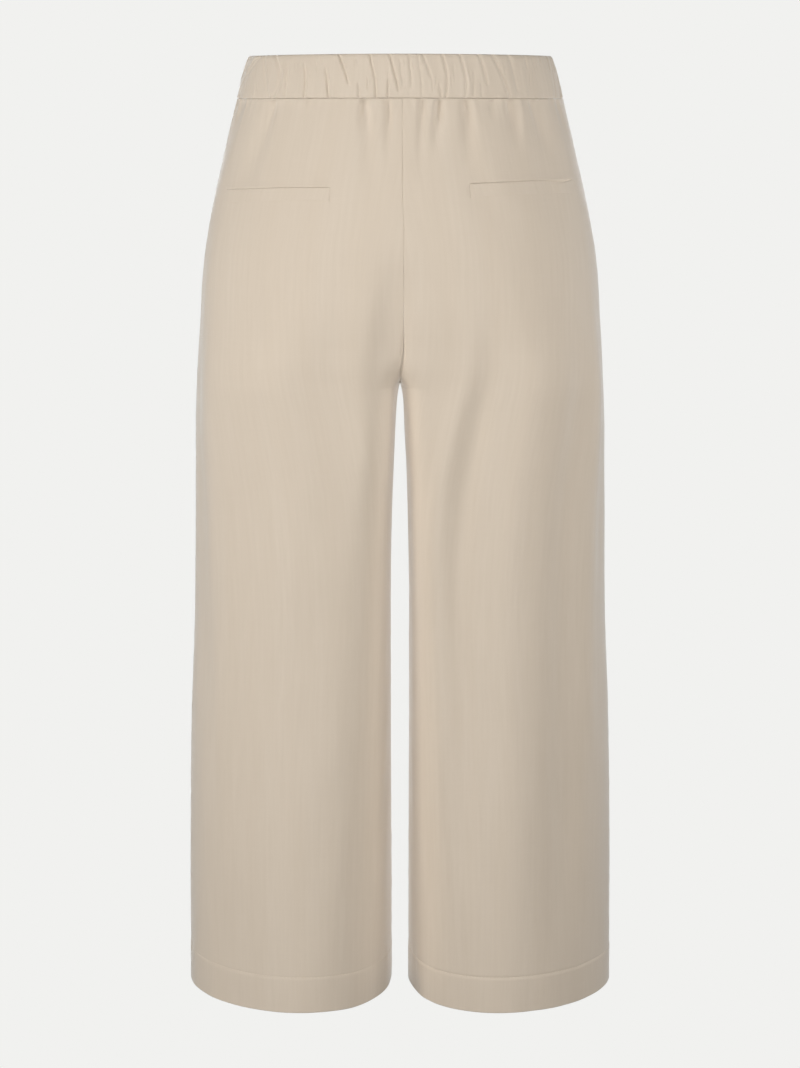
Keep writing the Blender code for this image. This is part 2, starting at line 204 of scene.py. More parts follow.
# Creases around the waistband.  top, middle and bottom are places from the
# centre back towards the right; start and end are shares of the band's height.
Crease = namedtuple("Crease", "top middle bottom start end depth width")
BACK_CREASES = (
    (-153, -150, -148, 0, 0.12, 1.4, 1.1),
    (-135, -131, -125, 0, 1, 1.2, 1.7),
    (-121, -113, -121, 0, 1, 1.9, 2),
    (-111, -111, -111, 0.05, 0.75, 0.9, 1.1),
    (-103, -105, -107, 0.2, 1, 1.4, 1.4),
    (-90, -86, -88, 0.15, 1, 2.3, 1.2),
    (-78, -78, -77, 0.05, 0.3, 0.7, 1.1),
    (-71, -69, -68, 0, 0.3, 1.1, 1.1),
    (-68, -66, -64, 0.25, 1, 2.3, 1.2),
    (-55, -48, -44, 0, 0.75, 2.6, 1.3),
    (-40, -40, -40, 0.05, 0.35, 1.1, 1.1),
    (-38, -38, -37, 0.6, 1, 1.9, 1.2),
    (-32, -30, -30, 0.45, 0.9, 0.9, 1.1),
    (-27, -24, -23, 0, 1, 2.3, 1.2),
    (-12, -12, -13, 0.5, 1, 2.3, 1.1),
    (-9, -6, -2, 0, 0.9, 2.6, 1.3),
    (1, 1, 2, 0.1, 0.6, 0.7, 1.1),
    (8, 8, 8, 0, 0.85, 1.6, 1.3),
    (16, 17, 18, 0, 1, 0.9, 1.4),
    (20, 26, 33, 0, 0.6, 1.7, 1.5),
    (27, 32, 36, 0.6, 1, 1.5, 1.5),
    (37, 41, 40, 0, 1, 1.7, 1.4),
    (47, 48, 48, 0.2, 0.7, 0.5, 1.2),
    (53, 58, 58, 0, 1, 1.7, 1.4),
    (67, 66, 66, 0.35, 1, 1, 1.5),
    (71, 77, 79, 0, 0.75, 1.7, 1.7),
    (73, 73, 74, 0.6, 1, 0.9, 1.4),
    (84, 94, 102, 0, 1, 2.2, 2),
    (101, 107, 111, 0, 0.9, 1.7, 2.6),
    (114, 117, 121, 0.1, 1, -0.9, 3),
    (120, 123, 126, 0, 0.35, 1.4, 1.4),
    (130, 132, 134, 0, 0.3, 0.8, 1.4),
    (140, 143, 146, 0, 0.28, 1.2, 1.5),
)
# Uneven creases around the sides and the front, from this far from the centre
# back, and small ones all around
CREASE_SEED = 5
CREASE_FROM = 156.0
CREASE_PITCH = (6.0, 12.0)
CREASE_STARTS = [0.0, 0.0, 0.0, 0.15, 0.45]
CREASE_ENDS = [1.0, 1.0, 1.0, 0.8, 0.45]
CREASE_SHORTEST = 0.3
CREASE_LEAN = 3.2
CREASE_BEND = 1.6
CREASE_DEPTH = (0.6, 1.6)
CREASE_WIDTH = (1.4, 2.4)
FINE_CREASES = 60
FINE_CROWDING = 0.4
FINE_LEAN = 2.0
FINE_START = (0.02, 0.65)
FINE_LENGTH = (0.20, 0.45)
FINE_DEPTH = (0.6, 1.25)
FINE_WIDTH = (0.8, 1.1)
# The small creases are shallower around the sides, this far from the centre back
SIDE_PLACE = 185.0
SIDE_CALM = 0.75
SIDE_CALM_REACH = 28.0

# Welt pockets: the usual level of each opening, its level at its outer and inner
# end, the panel's mouth above the welt, and how far the welt's edge hangs open
Welt = namedtuple("Welt", "panel level outer inner mouth open")
WELTS = (
    Welt(BACK_LEFT, 118.5, 120.0, 116.0, 0.22, 0.0),
    Welt(BACK_RIGHT, 112.0, 111.0, 113.0, 0.42, 2.2),
)
WELT_REACH = 60.0
WELT_BOW = 0.8
WELT_SUNK = 1.1
PANEL_WIDTH = 235.0     # of a back panel, at its welt
# The raised lip above the mouth, and the bar tack at the inner end
LIP_HEIGHT = 0.35
LIP_ABOVE = 1.4
LIP_WIDTH = 1.6
TICK_DEPTH = 0.40
TICK_WIDTH = 0.45
# The strip's thickness at its middle and edges, its lift and its gaping place
WELT_THICK = 0.90
WELT_THIN = 0.12
WELT_REST = 0.04
WELT_LIFT = 0.30
WELT_LIFT_REACH = 3.0
WELT_CROWN = 0.10
GAPE_PLACE = 0.17


def ease(share):
    """Smooth step from 0 to 1."""
    share = np.clip(share, 0.0, 1.0)
    return share * share * (3 - 2 * share)


def bell(away, width):
    """A soft bump, 1 in its middle."""
    return np.exp(-(away / width) ** 2)


# ---- the garment's form
def column_slopes(column):
    """Slopes of a smooth line through a column that never overshoots it."""
    drops = np.array([row.drop for row in SECTIONS], float)
    values = np.array([getattr(row, column) for row in SECTIONS], float)
    steps = np.diff(values) / np.diff(drops)
    slopes = [steps[0]]
    for before, after in zip(steps, steps[1:]):
        slopes.append(2 * before * after / (before + after) if before * after > 0 else 0.0)
    return slopes + [steps[-1]]


SLOPES = {column: column_slopes(column) for column in Section._fields[1:]}


def column_at(column, drop):
    """A column of the sections table at any drop."""
    index = len(SECTIONS) - 2
    while index > 0 and SECTIONS[index].drop > drop:
        index -= 1
    start, end = SECTIONS[index], SECTIONS[index + 1]
    span = end.drop - start.drop
    t = (drop - start.drop) / span
    first, last = getattr(start, column), getattr(end, column)
    rise = span * SLOPES[column][index]
    fall = span * SLOPES[column][index + 1]
    return (first * (1 + 2 * t) * (1 - t) ** 2 + rise * t * (1 - t) ** 2
            + last * t * t * (3 - 2 * t) - fall * t * t * (1 - t))


LINE_STEPS = 900


def half_line(drop, face, wall, shares, half_gap, apart):
    """The garment's line at one level from the side seam to the middle, on one face.

    Returns x, y, the outward normal and the place along the line for each share
    of the panel's width, and the line's length.
    """
    outer, inner = column_at("outer", drop), column_at("inner", drop)
    depth = column_at("back" if face < 0 else "front", drop) - wall
    lean = column_at("lean", drop)
    out_power = 2 / column_at("square", drop)
    in_power = 2 / column_at("fork", drop)
    across = (outer - inner) / 2 - wall
    centre = (outer + inner) / 2
    start = math.asin((half_gap / depth) ** (1 / out_power))
    if apart:
        end = math.pi - math.asin((half_gap / depth) ** (1 / in_power))
    else:
        reach = (centre - half_gap) / across
        end = math.acos(-math.copysign(abs(reach) ** (1 / in_power), reach))
    turn = np.linspace(start, end, LINE_STEPS + 1)
    power = np.where(turn < math.pi / 2, out_power, in_power)
    cosine = np.cos(turn)
    sine = np.maximum(0.0, np.sin(turn))
    x = centre + across * np.sign(cosine) * np.abs(cosine) ** power - lean * sine ** 2
    y = depth * sine ** power
    run = np.concatenate([[0.0], np.cumsum(np.hypot(np.diff(x), np.diff(y)))])
    grain = column_at("grain", drop) * (1 if face < 0 else FRONT_GRAIN)
    place = grain * shares + (run[-1] - grain) * shares ** GRAIN_POWER
    middle = (run[1:] + run[:-1]) / 2
    length = np.diff(run)
    normal_x = np.interp(place, middle, np.diff(y) / length)
    normal_y = np.interp(place, middle, -np.diff(x) / length)
    size = np.hypot(normal_x, normal_y)
    return (np.interp(place, run, x), np.interp(place, run, y),
            normal_x / size, normal_y / size, place, run[-1])


def waist_lift(depth_share, face, drop):
    """The waist runs up at the back and down at the front; this fades to the crotch."""
    top = BACK_RISE if face < 0 else -FRONT_DIP
    return top * depth_share ** 2 * ease(1 - drop / CROTCH_DROP)


def inner_turn():
    """How much higher than its outside the inside of the cloth turns at the crotch."""
    turn = CROTCH_DROP
    while column_at("inner", turn) + CLOTH_WALL > HALF_GAP:
        turn -= LEVEL_STEP
    return CROTCH_DROP - turn


INNER_TURN = inner_turn()
SHARE_STEPS = 300


class Skin:
    """One face of a panel's cloth, which can be read at any drop and share."""

    def __init__(self, panel, wall):
        self.panel = panel
        near = CROTCH_DROP + np.array([-1, 1]).repeat(40) * np.tile(np.linspace(0, 9, 40), 2) ** 2
        drops = np.concatenate([np.arange(0.0, LENGTH + 1, 2.0), near, [LENGTH]])
        self.drops = np.unique(np.clip(np.round(drops, 3), 0, LENGTH))
        self.shares = 1 - (1 - np.linspace(0, 1, SHARE_STEPS + 1)) ** 1.25
        rows = [self.row(drop, wall) for drop in self.drops]
        self.grid = np.array([np.stack(row[:6]) for row in rows]).transpose(1, 0, 2)
        self.width = np.array([row[6] for row in rows])
        shrink = 1 if panel.face < 0 else FRONT_GRAIN
        self.grain = np.array([column_at("grain", drop) * shrink for drop in self.drops])

    def row(self, drop, wall):
        """x, y, normal, place and height of one level, and its width."""
        lift = INNER_TURN * float(ease(1 - abs(drop - CROTCH_DROP) / LIFT_REACH)) if wall else 0.0
        level = drop - lift
        face = self.panel.face
        x, y, nx, ny, place, width = half_line(level, face, wall, self.shares, HALF_GAP,
                                               drop >= CROTCH_DROP)
        depth = column_at("back" if face < 0 else "front", level)
        z = waist_lift(np.minimum(1.0, y / depth), face, drop) - level
        return x, y, nx, ny, place, z, width

    def at(self, drop, share):
        """Points, outward normals and places at arrays of drops and shares."""
        i = np.clip(np.searchsorted(self.drops, drop) - 1, 0, len(self.drops) - 2)
        t = (drop - self.drops[i]) / (self.drops[i + 1] - self.drops[i])
        j = np.clip(np.searchsorted(self.shares, share) - 1, 0, len(self.shares) - 2)
        u = (share - self.shares[j]) / (self.shares[j + 1] - self.shares[j])
        value = ((self.grid[:, i, j] * (1 - u) + self.grid[:, i, j + 1] * u) * (1 - t)
                 + (self.grid[:, i + 1, j] * (1 - u) + self.grid[:, i + 1, j + 1] * u) * t)
        x, y, nx, ny, place, z = value
        side, face = self.panel.side, self.panel.face
        points = np.stack([side * x, face * y, z], -1)
        normals = np.stack([side * nx, face * ny, np.zeros_like(nx)], -1)
        return points, normals, place

    def width_at(self, drop):
        """The panel's width at each drop."""
        return np.interp(drop, self.drops, self.width)

    def grain_at(self, drop):
        """The width that the panel's lengthwise threads follow at each drop."""
        return np.interp(drop, self.drops, self.grain)


# ---- relief of the cloth
def folds_of(panel, drop, place, width):
    """How far the folds move the cloth out."""
    relief = np.zeros(np.broadcast(drop, place).shape)
    for fold in map(Fold._make, FOLDS[panel.name]):
        down = (drop - fold.top) / (fold.bottom - fold.top)
        inside = (down >= 0) & (down <= 1)
        if fold.top < BAND_HEIGHT:
            strength = ease(1 - down)
            spread = fold.width * (GATHER_SPREAD[0] + GATHER_SPREAD[1] * down)
        else:
            strength = ease(FOLD_RAMP * down) * ease(FOLD_RAMP * (1 - down))
            spread = fold.width * np.ones_like(down)
        away = place - (fold.place + fold.drift * down) * width
        relief += np.where(inside, fold.depth * strength * bell(away, spread), 0.0)
    return relief


def gathers_of(panel, drop, place, width):
    """How far the gathers under the waistband draw the cloth in."""
    relief = np.zeros(np.broadcast(drop, place).shape)
    for gather in map(Gather._make, GATHERS.get(panel.name, ())):
        below = drop - BAND_HEIGHT
        down = np.clip(below / (gather.bottom - BAND_HEIGHT), 0, 1)
        strength = ease(below / GATHER_FULL + GATHER_START) * ease(1 - down)
        spread = gather.top_width + (gather.foot_width - gather.top_width) * down
        away = place - (gather.place + gather.drift * down) * width
        relief -= gather.depth * strength * bell(away, spread)
    return relief


def sunk(groove, drop, to_centre):
    """How far a groove draws the back in."""
    fade = ease((drop - groove.top) / groove.ramp_in) * ease((groove.foot - drop) / groove.ramp_out)
    return groove.depth * fade * bell(to_centre - groove.away, groove.width)


# The waviness of hanging cloth: how many waves, and the ranges of their sizes
WAVES = 26
WAVE_ACROSS = (22, 80)
WAVE_DOWN = (110, 420)
WAVE_DEPTH = (0.03, 0.11)
WAVE_USUAL = 50
WAVE_SLANT = 0.4
TURN = 2 * math.pi


def unevenness(panel, drop, place):
    """The slight waviness of hanging cloth, long down the leg and short across it."""
    draw = np.random.default_rng(panel.seed)
    relief = np.zeros(np.broadcast(drop, place).shape)
    for _ in range(WAVES):
        across = draw.uniform(*WAVE_ACROSS)
        down = draw.uniform(*WAVE_DOWN)
        phase = draw.uniform(0, TURN, 2)
        size = draw.uniform(*WAVE_DEPTH) * across / WAVE_USUAL
        relief += size * np.sin(TURN * (place / across + WAVE_SLANT * drop / down) + phase[0]) \
            * np.sin(TURN * drop / down + phase[1])
    return relief


# Small uneven waves along a line: how many, the range of their lengths, depth
# and how far from the line they reach
Ripple = namedtuple("Ripple", "seed count lengths depth reach")
HEM_RIPPLE = Ripple(40, 6, (11, 34), 0.07, 9.0)
TOP_RIPPLE = Ripple(60, 7, (6, 19), 0.22, 9.0)


def ripples(place, seed, count, lengths, scale=1.0):
    """The sum of such waves, the same for the same seed."""
    draw = np.random.default_rng(seed)
    total = np.zeros_like(place, dtype=float)
    for _ in range(count):
        wave = scale * draw.uniform(*lengths)
        total += np.sin(TURN * place / wave + draw.uniform(0, 6.3))
    return total


# Puckers along the seams; seeds go by side, or by face for the centre seams
Pucker = namedtuple("Pucker", "seeds pitch size")
SIDE_PUCKER = Pucker({-1: 21, 1: 22}, 21.0, 0.16)
CENTRE_PUCKER = Pucker({-1: 23, 1: 24}, 17.0, 0.15)
INSEAM_PUCKER = Pucker({-1: 25, 1: 26}, 24.0, 0.18)
PUCKERS = 7
PUCKER_LENGTHS = (0.7, 1.7)
PUCKER_REACH = 9.0
PUCKER_CLEAR = 30.0
# Every seam lies a little low
SEAM_DIP = 0.18
SEAM_DIP_WIDTH = 1.1


def pucker(drop, seam, key):
    """Small uneven ripples along a seam."""
    return seam.size * ripples(drop, seam.seeds[key], PUCKERS, PUCKER_LENGTHS, seam.pitch) / 3


def seams_of(panel, drop, place, width):
    """Seams ripple a little on both sides."""
    to_side, to_centre = place, width - place
    to_crotch = np.abs(drop - CROTCH_DROP)
    side = pucker(drop, SIDE_PUCKER, panel.side)
    centre = pucker(drop, CENTRE_PUCKER, panel.face)
    inseam = pucker(drop, INSEAM_PUCKER, panel.side)
    middle = np.where(drop < CROTCH_DROP, centre, inseam) * ease(to_crotch / PUCKER_CLEAR)
    relief = side * np.exp(-to_side / PUCKER_REACH) + middle * np.exp(-to_centre / PUCKER_REACH)
    if panel.face < 0:
        relief = relief - sunk(SEAM_GROOVE, drop, to_centre)
    return relief


# The hem: how deep its stitch line lies, by panel, and how full it is below
HEM_GROOVE = {"back_left": 0.18, "back_right": 0.34, "front_left": 0.26, "front_right": 0.26}
HEM_GROOVE_WIDTH = 1.3
HEM_FULLER = 0.22


def hem_of(panel, drop, place):
    """The hem's stitch line draws the cloth in, with small uneven puckers around it."""
    away = drop - (LENGTH - HEM_DEPTH)
    ripple = ripples(place, panel.seed + HEM_RIPPLE.seed, HEM_RIPPLE.count, HEM_RIPPLE.lengths)
    groove = -HEM_GROOVE[panel.name] * bell(away, HEM_GROOVE_WIDTH)
    fuller = HEM_FULLER * ease((away + 4) / 8)
    return groove + fuller + HEM_RIPPLE.depth * ripple * bell(away, HEM_RIPPLE.reach)


def top_of(panel, drop, place):
    """Small uneven puckers just under the waistband's seam."""
    ripple = ripples(place, panel.seed + TOP_RIPPLE.seed, TOP_RIPPLE.count, TOP_RIPPLE.lengths)
    return TOP_RIPPLE.depth * ripple * np.exp(-(drop - BAND_HEIGHT) / TOP_RIPPLE.reach)


def welt_of(panel):
    """The welt on a panel, or None."""
    return next((welt for welt in WELTS if welt.panel is panel), None)


def welt_share(share):
    """0 at a welt's outer end and 1 at its inner end."""
    return (share - WELT_FROM) / (WELT_TO - WELT_FROM)


def welt_shift(welt, drop, share):
    """How far a level is moved to follow a welt's slant."""
    along = np.clip(welt_share(share), 0, 1)
    target = welt.outer + (welt.inner - welt.outer) * along - WELT_BOW * np.sin(math.pi * along)
    away = np.abs(drop - welt.level - WELT_HEIGHT / 2)
    return (target - welt.level) * ease(1 - away / WELT_REACH)


def welt_bed(welt, drop, share, width):
    """The panel is sunk under its welt, with a narrow mouth above it."""
    below = drop - welt.level
    mouth = below + welt.mouth
    length = (WELT_TO - WELT_FROM) * width
    across = welt_share(share) * length
    inside = ease((mouth + 0.3) / 0.5) * ease((WELT_HEIGHT + 0.1 - below) / 1.2)
    ends = ease(across + 0.1) * ease(length - across + 0.1)
    lip = LIP_HEIGHT * bell(mouth + LIP_ABOVE, LIP_WIDTH) * ease((across + 3) / 5) \
        * ease((length - across + 3) / 5)
    tick = TICK_DEPTH * bell(across - length - 0.5, TICK_WIDTH) * ease(below + 0.5) \
        * ease(WELT_HEIGHT + 1.5 - below)
    return lip - WELT_SUNK * inside * ends - tick


def relief_at(panel, skin, drop, share, place):
    """Everything that moves a panel's cloth in or out, in millimetres."""
    width = skin.width_at(drop)
    grain = skin.grain_at(drop)
    relief = folds_of(panel, drop, place, grain) + unevenness(panel, drop, place)
    to_seam = np.minimum(place, width - place)
    relief = relief * ease(to_seam / FOLD_SEAM_CLEAR) + gathers_of(panel, drop, place, grain)
    held = ease((drop - BAND_HEIGHT) / SEWN_REACH)
    relief = relief * (SEWN_SHARE + (1 - SEWN_SHARE) * held)
    relief = relief + seams_of(panel, drop, place, width)
    relief = relief + hem_of(panel, drop, place) + top_of(panel, drop, place)
    if panel is BACK_RIGHT:
        relief = relief - sunk(ALLOWANCE, drop, width - place)
    welt = welt_of(panel)
    if welt:
        relief = relief + welt_bed(welt, drop, share, width)
    return relief


# ---- meshes
def spread(low, high, step, fixed=()):
    """Even values from low to high, kept clear of the fixed ones, which are added."""
    fixed = np.unique(np.round(np.array([low, high, *fixed]), 5))
    even = np.linspace(low, high, int(round((high - low) / step)) + 1)
    clear = np.min(np.abs(even[:, None] - fixed[None]), axis=1) > step * 0.35
    return np.sort(np.concatenate([fixed, even[clear]]))


def rounding(distance, radius):
    """How far a rounded edge drops back, at a distance from the edge."""
    near = np.clip(radius - distance, 0, radius)
    return radius - np.sqrt(np.maximum(radius ** 2 - near ** 2, 0))


def solid(name, grids, uv, closed_across=False):
    """A closed mesh from an outer and an inner grid of points in metres.

    grids are two arrays of rows x columns x 3, and uv two of rows x columns x 2.
    closed_across joins the last column to the first.
    """
    rows, columns = grids[0].shape[:2]
    points = np.concatenate([grid.reshape(-1, 3) for grid in grids])
    marks = np.concatenate([half.reshape(-1, 2) for half in uv])
    index = np.arange(rows * columns).reshape(rows, columns)
    if closed_across:
        index = np.concatenate([index, index[:, :1]], 1)
    into = index + rows * columns
    here, follow = index[:, :-1], index[:, 1:]
    here_in, follow_in = into[:, :-1], into[:, 1:]
    quads = [
        np.stack([here[:-1], here[1:], follow[1:], follow[:-1]], -1),
        np.stack([here_in[:-1], follow_in[:-1], follow_in[1:], here_in[1:]], -1),
        np.stack([here[0], follow[0], follow_in[0], here_in[0]], -1),
        np.stack([here[-1], here_in[-1], follow_in[-1], follow[-1]], -1),
    ]
    if not closed_across:
        quads += [
            np.stack([index[:-1, 0], into[:-1, 0], into[1:, 0], index[1:, 0]], -1),
            np.stack([index[:-1, -1], index[1:, -1], into[1:, -1], into[:-1, -1]], -1),
        ]
    faces = np.concatenate([quad.reshape(-1, 4) for quad in quads])
    return mesh_object(name, points, faces, marks)


def linked(name, data):
    """A new object of the scene with this data."""
    item = bpy.data.objects.new(name, data)
    bpy.context.scene.collection.objects.link(item)
    return item


def mesh_object(name, points, faces, marks=None):
    """A smooth mesh object of quads, facing out, with an optional map in metres."""
    data = bpy.data.meshes.new(name)
    data.from_pydata(points, [], faces)
    body = bmesh.new()
    body.from_mesh(data)
    bmesh.ops.recalc_face_normals(body, faces=body.faces)
    body.to_mesh(data)
    body.free()
    data.shade_smooth()
    if marks is not None:
        corner = np.empty(len(data.loops), np.int32)
        data.loops.foreach_get("vertex_index", corner)
        layer = data.uv_layers.new(name=CLOTH_MAP)
        layer.uv.foreach_set("vector", marks[corner].astype(np.float32).ravel())
    return linked(name, data)


CLOTH_MAP = "cloth"
PANEL_STEP = 3.4
COLUMN_STEP = 0.0105
INSEAM_SHARE = 0.86
INSEAM_COLUMNS = 22
SEAM_WIDTH = 300.0      # a panel's usual width, which turns the edge steps into shares
EDGE_STEPS = (0.18, 0.4, 0.7, 1.1, 1.7, 2.6, 4.2)
EDGE_RADIUS = 0.28
HEM_EDGE_EXTRA = 0.5
WELT_END_STEPS = (-0.9, -0.6, -0.3, 0.0, 0.3, 0.6)
TOP_STEPS = (0.15, 0.35, 0.6, 1.0, 1.6, 2.6)
HEM_STEPS = (-5, -3.4, -2.2, -1.4, -0.8, -0.3, 0.3, 0.8, 1.4, 2.2, 3.4, 5)
MOUTH_STEPS = (-4, -2.6, -1.8, -1.2, -0.75, -0.5, -0.25, 0.0, 0.3, 0.8)
FOOT_STEPS = (-0.8, -0.2, 0.1, 0.35, 0.6, 1.0, 1.8, 3.0)
CROTCH_ROWS = 12
CROTCH_REACH = 40


def panel_shares(panel):
    """Shares of a panel's width for its columns, closer at its seams and welt ends."""
    steps = np.array(EDGE_STEPS) / SEAM_WIDTH
    fixed = list(steps) + list(1 - steps / 3)
    fixed += list(np.linspace(INSEAM_SHARE, 1 - steps[-1] / 3, INSEAM_COLUMNS))
    if welt_of(panel):
        beside = np.array(WELT_END_STEPS) / PANEL_WIDTH
        fixed += list(WELT_FROM + beside) + list(WELT_TO - beside)
    return spread(0.0, 1.0, COLUMN_STEP, fixed)


def panel_drops(panel):
    """The levels of a panel's rows, closer at its edges, its welt, its crotch and its hem."""
    top, line = BAND_HEIGHT + SEAM_GAP, LENGTH - HEM_DEPTH
    edge = np.array(TOP_STEPS)
    fixed = list(top + edge) + list(LENGTH - edge)
    fixed += list(line + np.array(HEM_STEPS))
    near = np.linspace(0, 1, CROTCH_ROWS) ** 2 * CROTCH_REACH
    fixed += list(CROTCH_DROP - near) + list(CROTCH_DROP + near[1:])
    welt = welt_of(panel)
    if welt:
        fixed += list(welt.level + np.array(MOUTH_STEPS))
        fixed += list(welt.level + WELT_HEIGHT + np.array(FOOT_STEPS))
    return spread(top, LENGTH, PANEL_STEP, fixed)


# How far the centre back seam is drawn right, at first and below the pockets
SWAY_EARLY = 2.0
SWAY = 3.3
SWAY_REACH = 38.0


def sway_at(drop):
    """The centre back seam is drawn a little to the right above the crotch."""
    early = SWAY_EARLY * ease(drop / 25.0)
    late = (SWAY - SWAY_EARLY) * ease((drop - 125.0) / 30.0)
    return (early + late) * ease((CROTCH_DROP - 2.0 - drop) / 40.0)


# How far the edges at a seam are drawn together, which shuts most of its gap
SEAM_CLOSE = 0.13
SEAM_CLOSE_REACH = 0.8


def swayed(points, panel, drop):
    """Seams drawn shut, and points of the back moved sideways near the centre seam."""
    for axis in (0, 1):
        value = points[..., axis]
        points[..., axis] -= np.sign(value) * SEAM_CLOSE * np.exp(-np.abs(value) / SEAM_CLOSE_REACH)
    if panel.face < 0:
        points[..., 1] += sunk(CENTRE_DIP[panel.side], drop, points[..., 0])
        points[..., 0] += sway_at(drop) * bell(points[..., 0], SWAY_REACH)
    return points


def make_panel(panel, outside, inside):
    """One leg panel from the waist seam to its turned hem."""
    share, level = np.meshgrid(panel_shares(panel), panel_drops(panel))
    welt = welt_of(panel)
    drop = level + (welt_shift(welt, level, share) if welt else 0.0)
    skins = []
    for skin, wall in ((outside, 0.0), (inside, CLOTH_WALL)):
        points, normals, place = skin.at(drop, share)
        width = skin.width_at(level)
        relief = relief_at(panel, outside, level, share, place)
        to_edge = np.minimum(place, width - place)
        to_end = np.minimum(level - level[0, 0], LENGTH - level)
        hem = HEM_WALL - CLOTH_WALL
        turned = hem * ease((level - (LENGTH - HEM_DEPTH) + 1.2) / 1.2)
        radius = EDGE_RADIUS + np.where(level > LENGTH - HEM_DEPTH, HEM_EDGE_EXTRA, 0.0) * (to_end < 5)
        round_off = rounding(to_edge, EDGE_RADIUS) + rounding(to_end, radius)
        if wall:
            out = relief - turned + round_off
        else:
            dip = SEAM_DIP * bell(to_edge, SEAM_DIP_WIDTH) * ease((CROTCH_DROP + 600 - level) / 60)
            out = relief - round_off - dip
        points = swayed(points + normals * out[..., None], panel, level)
        skins.append(points * MM)
    shift = outside.at(drop, np.full_like(share, 0.5))[2]
    uv = np.stack([(place - shift) * MM, -drop * MM], -1)
    return solid(panel.name + "_cloth", skins, (uv, uv + 0.37))


WELT_COLUMNS = 90
WELT_ROWS = 18


def make_welt(welt, outside):
    """The strip of one welt pocket, lying in its bed."""
    panel = welt.panel
    down = (1 - np.cos(np.linspace(0, math.pi, WELT_ROWS))) / 2
    along = (1 - np.cos(np.linspace(0, math.pi, WELT_COLUMNS))) / 2
    share, height = np.meshgrid(WELT_FROM + (WELT_TO - WELT_FROM) * along, down)
    along = welt_share(share)
    level = welt.level + height * WELT_HEIGHT
    level = level + welt.open * bell(along - GAPE_PLACE, 0.11) * (1 - height)
    drop = level + welt_shift(welt, level, share)
    points, normals, place = outside.at(drop, share)
    grain = outside.grain_at(level)
    relief = folds_of(panel, level, place, grain) + unevenness(panel, level, place)
    to_end = np.minimum(along, 1 - along) * (WELT_TO - WELT_FROM) * PANEL_WIDTH
    to_edge = np.minimum(height, 1 - height) * WELT_HEIGHT
    to_foot = np.minimum((1 - height) * WELT_HEIGHT, to_end)
    lift = WELT_REST + WELT_LIFT * np.exp(-height * WELT_HEIGHT / WELT_LIFT_REACH) \
        + WELT_CROWN * np.sin(math.pi * height) \
        + 0.5 * welt.open * bell(along - GAPE_PLACE, 0.12) * (1 - height)
    lift = lift * ease(to_end / 6.0 + 0.12)
    thick = WELT_THIN + (WELT_THICK - WELT_THIN) * ease(to_foot / 1.4)
    radius = np.where(height < 0.5, 0.30, 0.05)
    round_off = rounding(to_edge, radius) + rounding(to_end, 0.05)
    grids = []
    for out in (relief + lift - round_off, relief + lift - thick + round_off):
        grids.append(swayed(points + normals * out[..., None], panel, level) * MM)
    uv = np.stack([place * MM + 0.11, -drop * MM + 0.53], -1)
    return solid(panel.name.replace("back", "welt") + "_cloth", grids, (uv, uv + 0.2))


# ---- waistband
BAND_QUARTER = 270
BAND_ROWS = 40
BAND_EDGE = 0.1
BAND_FULLNESS = 1.3     # how much cloth is gathered into the band's length
# How far the band stands out, at drops down it
BAND_PROUD = ((0.0, -0.9), (1.2, -0.1), (3.5, 0.45), (12.0, 0.8), (22.0, 0.85), (33.0, 0.5),
              (36.5, 0.2), (38.0, -0.1), (38.5, -0.4))


def band_creases(period):
    """The creases of the back, and uneven ones like them around the sides and the front."""
    draw = np.random.default_rng(CREASE_SEED)
    creases = [Crease(*row) for row in BACK_CREASES]
    place = CREASE_FROM
    while place < period - CREASE_FROM:
        lean = draw.normal(0.0, CREASE_LEAN)
        start = draw.choice(CREASE_STARTS)
        end = draw.choice(CREASE_ENDS)
        if end - start < CREASE_SHORTEST:
            end = 1.0
        beside = min(1.0, (abs(place - period / 2) + 40.0) / 80.0)
        depth = draw.uniform(*CREASE_DEPTH) * (0.65 + 0.35 * beside)
        width = draw.uniform(*CREASE_WIDTH)
        bend = draw.normal(0.0, CREASE_BEND)
        creases.append(Crease(place, place + lean / 2 + bend, place + lean, start, end, depth, width))
        place += draw.uniform(*CREASE_PITCH)
    for _ in range(FINE_CREASES):
        share = draw.uniform(-1.0, 1.0)
        place = period / 2 * share * abs(share) ** FINE_CROWDING
        lean = draw.normal(0.0, FINE_LEAN)
        start = draw.uniform(*FINE_START)
        end = start + draw.uniform(*FINE_LENGTH)
        calm = 1 - SIDE_CALM * bell(abs(place) - SIDE_PLACE, SIDE_CALM_REACH)
        depth = draw.uniform(*FINE_DEPTH) * calm
        width = draw.uniform(*FINE_WIDTH)
        creases.append(Crease(place, place + lean, place + 2 * lean, start, end, depth, width))
    return creases


# A crease fades over this share of the band's height; the cloth swells beside its
# trough by these shares of its depth and width
CREASE_FADE = 0.16
THROUGH = 0.9
TROUGH_POWER = 1.6
SWELL_HEIGHT = 0.42
SWELL_WIDTH = 3.1


def crease_relief(creases, place, height, period):
    """How far the gathers move the waistband's cloth; height is 0 at its top and 1 at its foot."""
    relief = np.zeros(np.broadcast(place, height).shape)
    for crease in creases:
        line = (crease.top * (1 - height) * (1 - 2 * height) + crease.middle * 4 * height * (1 - height)
                + crease.bottom * height * (2 * height - 1))
        away = (place - line + period / 2) % period - period / 2
        strength = ease((height - crease.start) / CREASE_FADE + (THROUGH if crease.start == 0 else 0.0)) \
            * ease((crease.end - height) / CREASE_FADE + (THROUGH if crease.end == 1 else 0.0))
        trough = np.exp(-np.abs(away / crease.width) ** TROUGH_POWER)
        swell = SWELL_HEIGHT * bell(away, SWELL_WIDTH * crease.width)
        relief += crease.depth * strength * (swell - trough)
    return relief


